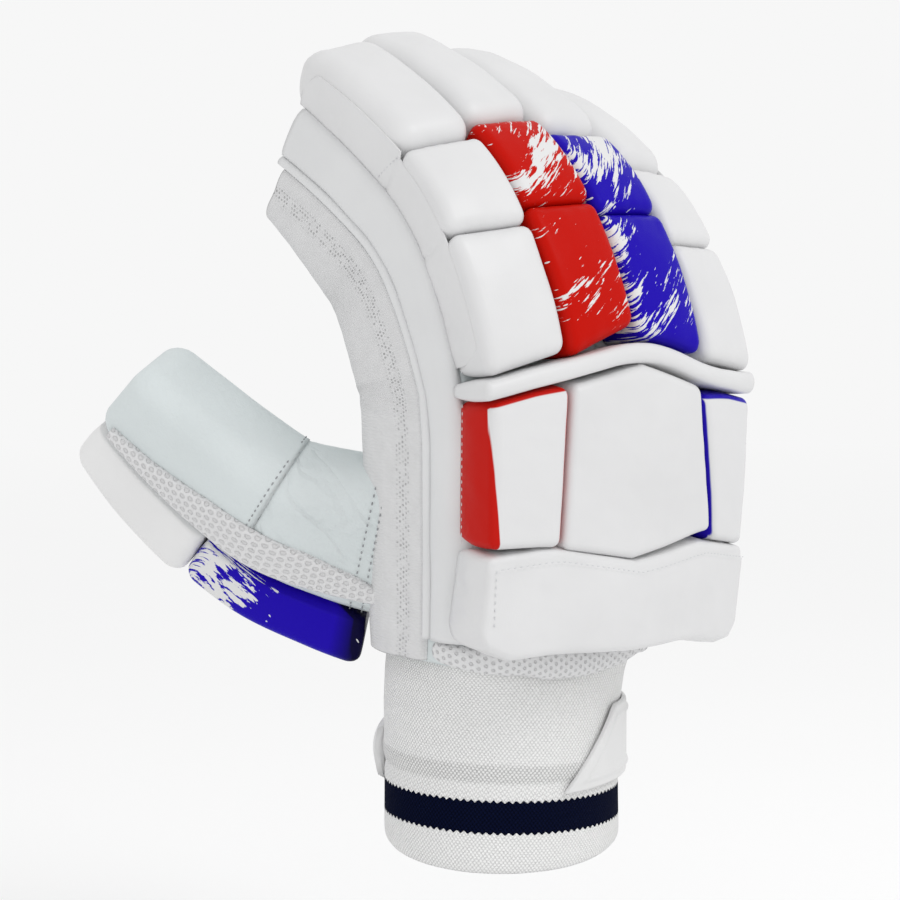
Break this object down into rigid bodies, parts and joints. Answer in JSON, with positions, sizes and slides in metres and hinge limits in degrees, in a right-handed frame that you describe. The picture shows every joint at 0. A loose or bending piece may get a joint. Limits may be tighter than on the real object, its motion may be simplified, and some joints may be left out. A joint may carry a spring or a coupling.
{
  "type": "cricket batting glove",
  "caption": "Right-hand cricket batting glove with split finger rolls, padded back, side bar, guarded thumb, knitted cuff and strap.",
  "frame": {"origin": "middle of the wrist opening, at the hem of the cuff", "axes": "+Z towards the fingertips, +Y out of the palm, -Y out of the back of the hand, -X towards the thumb"},
  "size_m": [0.177, 0.1681, 0.279],
  "materials": {
    "leather": "soft pale grey-blue leather",
    "padding": "smooth white coated leather over foam",
    "red_print": "smooth red coated leather with a scuffed dark print",
    "blue_print": "smooth blue coated leather with a scuffed dark print",
    "air_mesh": "white perforated air mesh",
    "knit": "white ribbed knit",
    "navy_knit": "navy ribbed knit",
    "strap": "white moulded strap, satin"
  },
  "bodies": {
    "root": {"cuff_hem": "knit", "cuff_sleeve": "knit", "cuff_stripe": "navy_knit", "hand": "leather", "index_back_pad": "padding", "index_base_roll": "padding", "index_mesh_strip": "air_mesh", "index_mid_roll": "padding", "index_piping": "padding", "index_side_bar": "padding", "index_stall": "leather", "index_tip_roll": "padding", "knuckle_welt": "padding", "little_back_pad": "padding", "little_base_roll": "padding", "little_mesh_strip": "air_mesh", "little_mid_roll": "padding", "little_piping": "padding", "little_side_bar": "padding", "little_stall": "leather", "little_tip_roll": "padding", "middle_back_pad": "padding", "middle_base_roll": "red_print", "middle_mid_roll": "red_print", "middle_stall": "leather", "middle_tip_roll": "padding", "ring_base_roll": "blue_print", "ring_mid_roll": "blue_print", "ring_stall": "leather", "ring_tip_roll": "padding", "strap_tab": "strap", "thumb_base_pad": "blue_print", "thumb_mesh": "air_mesh", "thumb_stall": "leather", "thumb_tip_pad": "padding", "thumb_web": "leather", "wrist_mesh_trim": "air_mesh", "wrist_panel": "padding", "wrist_strap": "strap"}
  },
  "joints": []
}
